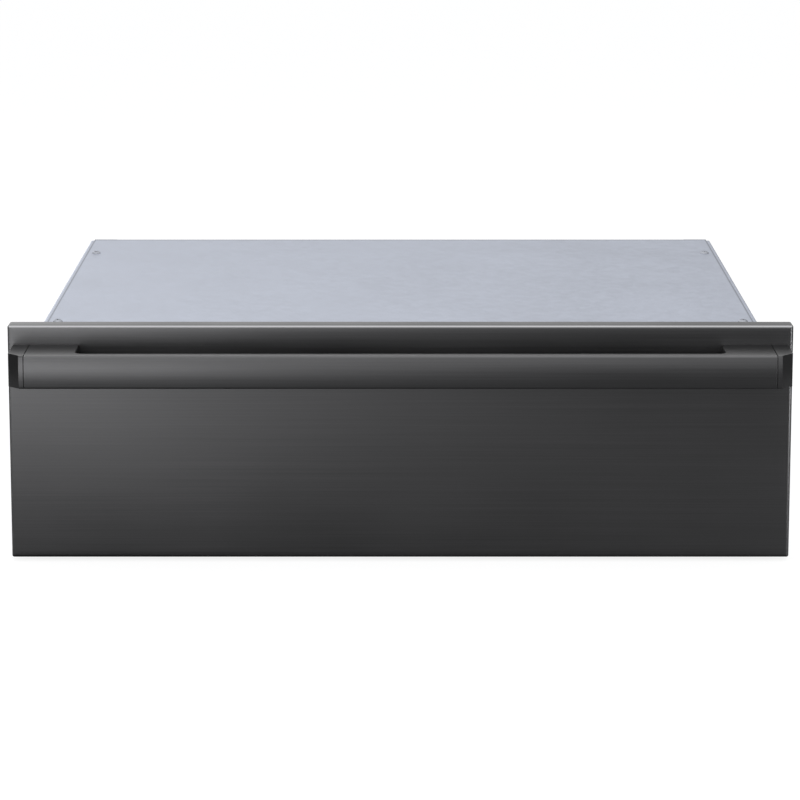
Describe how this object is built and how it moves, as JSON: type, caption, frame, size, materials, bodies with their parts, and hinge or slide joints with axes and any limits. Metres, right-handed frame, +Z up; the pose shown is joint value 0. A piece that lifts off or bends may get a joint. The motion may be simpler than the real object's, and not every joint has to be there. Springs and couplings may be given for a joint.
{
  "type": "built-in warming drawer",
  "caption": "Built-in warming drawer: a sheet-metal chassis, a brushed front panel with a full-width handle, and a heated pan on telescopic ball-bearing slides.",
  "frame": {"origin": "middle of the object's footprint, on the surface it stands on", "axes": "+X to the user's right along the front panel, -Y towards the user, +Z up"},
  "size_m": [0.759, 0.651, 0.234],
  "materials": {
    "graphite_steel": "graphite tinted, brushed lengthwise",
    "galvanised_sheet": "zinc coated, dull",
    "zinc_plated_steel": "bright zinc",
    "stainless_steel": "brushed",
    "bearing_steel": "polished",
    "sheath_steel": "heat darkened",
    "glass_fibre": "matted fibre",
    "steatite": "unglazed ceramic",
    "black_plastic": "fine textured",
    "smoked_plastic": "polished",
    "grey_plastic": "satin",
    "circuit_board": "solder mask",
    "wire_jacket": "braided sleeve",
    "black_rubber": "moulded"
  },
  "bodies": {
    "chassis": {"base_pan": "galvanised_sheet", "left_side_panel": "galvanised_sheet", "right_side_panel": "galvanised_sheet", "rear_panel": "galvanised_sheet", "top_cover": "galvanised_sheet", "top_cover_screws": "zinc_plated_steel", "rear_panel_screws": "zinc_plated_steel", "slide_rivets": "zinc_plated_steel", "front_top_rail": "galvanised_sheet", "front_bottom_rail": "galvanised_sheet", "cavity_liner": "stainless_steel", "top_insulation": "glass_fibre", "bottom_insulation": "glass_fibre", "reflector_tray": "stainless_steel", "heating_element": "sheath_steel", "element_clips": "zinc_plated_steel", "element_insulators": "steatite", "limit_thermostat": "black_plastic", "temperature_sensor": "stainless_steel", "terminal_block": "steatite", "cord_gland": "black_plastic", "wiring_harness": "wire_jacket", "control_box": "galvanised_sheet", "control_board": "circuit_board", "control_fascia": "black_plastic", "display_lens": "smoked_plastic", "front_bumpers": "black_rubber", "left_slide_outer": "zinc_plated_steel", "right_slide_outer": "zinc_plated_steel"},
    "drawer": {"front_panel": "graphite_steel", "front_liner": "stainless_steel", "front_insulation": "glass_fibre", "handle_backing_bar": "zinc_plated_steel", "handle_bar": "graphite_steel", "left_end_cap": "graphite_steel", "right_end_cap": "graphite_steel", "handle_screws": "zinc_plated_steel", "drawer_pan": "stainless_steel", "left_drawer_rail": "stainless_steel", "right_drawer_rail": "stainless_steel", "rear_drawer_rail": "stainless_steel", "drawer_screws": "zinc_plated_steel", "shutter_rivets": "zinc_plated_steel", "left_slide_inner": "zinc_plated_steel", "right_slide_inner": "zinc_plated_steel"},
    "shutter": {"vent_shutter": "stainless_steel"},
    "left_slide_middle": {"left_slide_middle": "zinc_plated_steel"},
    "left_outer_cage": {"left_outer_cage": "stainless_steel", "left_outer_balls": "bearing_steel"},
    "left_inner_cage": {"left_inner_cage": "stainless_steel", "left_inner_balls": "bearing_steel"},
    "right_slide_middle": {"right_slide_middle": "zinc_plated_steel"},
    "right_outer_cage": {"right_outer_cage": "stainless_steel", "right_outer_balls": "bearing_steel"},
    "right_inner_cage": {"right_inner_cage": "stainless_steel", "right_inner_balls": "bearing_steel"},
    "power_key": {"power_button": "grey_plastic"},
    "temperature_down_key": {"temperature_down_button": "grey_plastic"},
    "temperature_up_key": {"temperature_up_button": "grey_plastic"},
    "timer_key": {"timer_button": "grey_plastic"}
  },
  "joints": [
    {"name": "drawer_slide", "type": "slide", "parent": "chassis", "child": "drawer", "axis": [0, -1, 0], "range_m": [0, 0.44]},
    {"name": "left_slide_middle_travel", "type": "slide", "parent": "chassis", "child": "left_slide_middle", "axis": [0, -1, 0], "range_m": [0, 0.22]},
    {"name": "left_outer_cage_travel", "type": "slide", "parent": "chassis", "child": "left_outer_cage", "axis": [0, -1, 0], "range_m": [0, 0.11]},
    {"name": "left_inner_cage_travel", "type": "slide", "parent": "chassis", "child": "left_inner_cage", "axis": [0, -1, 0], "range_m": [0, 0.33]},
    {"name": "right_slide_middle_travel", "type": "slide", "parent": "chassis", "child": "right_slide_middle", "axis": [0, -1, 0], "range_m": [0, 0.22]},
    {"name": "right_outer_cage_travel", "type": "slide", "parent": "chassis", "child": "right_outer_cage", "axis": [0, -1, 0], "range_m": [0, 0.11]},
    {"name": "right_inner_cage_travel", "type": "slide", "parent": "chassis", "child": "right_inner_cage", "axis": [0, -1, 0], "range_m": [0, 0.33]},
    {"name": "power_press", "type": "slide", "parent": "chassis", "child": "power_key", "axis": [0, 1, 0], "range_m": [0, 0.001], "stiffness_N_per_m": 300},
    {"name": "temperature_down_press", "type": "slide", "parent": "chassis", "child": "temperature_down_key", "axis": [0, 1, 0], "range_m": [0, 0.001], "stiffness_N_per_m": 300},
    {"name": "temperature_up_press", "type": "slide", "parent": "chassis", "child": "temperature_up_key", "axis": [0, 1, 0], "range_m": [0, 0.001], "stiffness_N_per_m": 300},
    {"name": "timer_press", "type": "slide", "parent": "chassis", "child": "timer_key", "axis": [0, 1, 0], "range_m": [0, 0.001], "stiffness_N_per_m": 300},
    {"name": "shutter_slide", "type": "slide", "parent": "drawer", "child": "shutter", "axis": [1, 0, 0], "range_m": [0, 0.01]}
  ],
  "couplings": [
    {"joint": "left_slide_middle_travel", "follows": "drawer_slide", "ratio": 0.5},
    {"joint": "left_outer_cage_travel", "follows": "drawer_slide", "ratio": 0.25},
    {"joint": "left_inner_cage_travel", "follows": "drawer_slide", "ratio": 0.75},
    {"joint": "right_slide_middle_travel", "follows": "drawer_slide", "ratio": 0.5},
    {"joint": "right_outer_cage_travel", "follows": "drawer_slide", "ratio": 0.25},
    {"joint": "right_inner_cage_travel", "follows": "drawer_slide", "ratio": 0.75}
  ]
}
